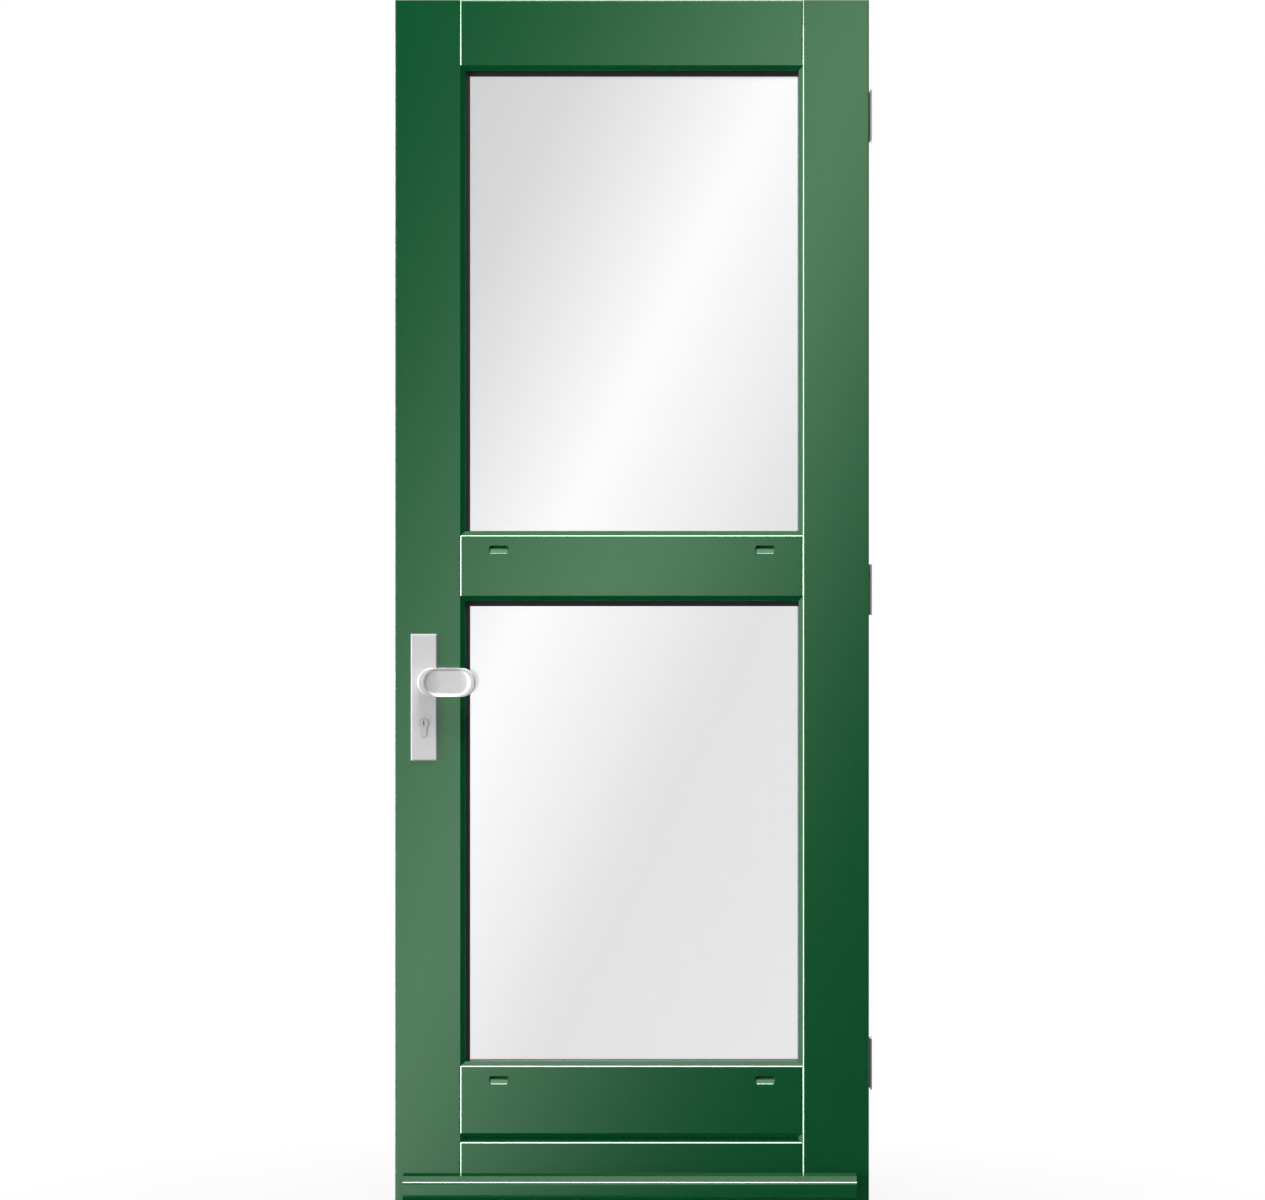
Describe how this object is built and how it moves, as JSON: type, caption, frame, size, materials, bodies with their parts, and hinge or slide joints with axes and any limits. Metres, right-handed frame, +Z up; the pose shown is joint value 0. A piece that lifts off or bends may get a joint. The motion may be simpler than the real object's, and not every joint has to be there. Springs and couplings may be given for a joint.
{
  "type": "glazed hardwood front door",
  "caption": "Painted hardwood front door leaf, glazed above and below its middle rail, with weather bar, oval knob, lever and mortise lock, swinging inward on butt hinges.",
  "frame": {"origin": "centre of the back of the bottom hinge's frame flap, where it lies on the door frame", "axes": "+Z up, +X from the lock edge towards the hinge jamb (right as seen from outside), +Y into the room, so the outside face looks towards -Y"},
  "size_m": [0.85, 0.1835, 2.115],
  "materials": {
    "green_paint": "hardwood with dark green semi-gloss paint",
    "clear_glass": "clear float glass",
    "black_spacer": "black edge seal of the glass unit",
    "black_tape": "black glazing tape",
    "setting_plastic": "grey plastic",
    "satin_aluminium": "natural satin anodised",
    "nickel_brass": "matt nickel plated",
    "hinge_steel": "satin stainless",
    "lock_steel": "satin stainless"
  },
  "bodies": {
    "frame_side": {"bottom_hinge_frame_flap": "hinge_steel", "bottom_hinge_pin": "hinge_steel", "middle_hinge_frame_flap": "hinge_steel", "middle_hinge_pin": "hinge_steel", "top_hinge_frame_flap": "hinge_steel", "top_hinge_pin": "hinge_steel"},
    "leaf": {"bottom_hinge_leaf_flap": "hinge_steel", "bottom_rail_lower": "green_paint", "bottom_rail_upper": "green_paint", "cylinder_body": "nickel_brass", "cylinder_plugs": "nickel_brass", "dead_bolt": "lock_steel", "hinge_stile": "green_paint", "inside_lever": "satin_aluminium", "inside_plate": "satin_aluminium", "latch_bolt": "lock_steel", "lock_case": "lock_steel", "lock_faceplate": "lock_steel", "lock_stile": "green_paint", "lower_bottom_bead": "green_paint", "lower_hinge_side_bead": "green_paint", "lower_inner_pane": "clear_glass", "lower_inner_tape": "black_tape", "lower_lock_side_bead": "green_paint", "lower_outer_pane": "clear_glass", "lower_outer_tape": "black_tape", "lower_spacer": "black_spacer", "lower_top_bead": "green_paint", "middle_hinge_leaf_flap": "hinge_steel", "middle_rail": "green_paint", "outside_knob": "satin_aluminium", "outside_plate": "satin_aluminium", "setting_blocks": "setting_plastic", "top_hinge_leaf_flap": "hinge_steel", "top_rail": "green_paint", "upper_bottom_bead": "green_paint", "upper_hinge_side_bead": "green_paint", "upper_inner_pane": "clear_glass", "upper_inner_tape": "black_tape", "upper_lock_side_bead": "green_paint", "upper_outer_pane": "clear_glass", "upper_outer_tape": "black_tape", "upper_spacer": "black_spacer", "upper_top_bead": "green_paint", "weather_bar": "green_paint"}
  },
  "joints": [
    {"name": "leaf_swing", "type": "hinge", "parent": "frame_side", "child": "leaf", "pos_m": [-0.0045, 0.02575, 0], "axis": [0, 0, -1], "range_deg": [0, 110]}
  ]
}
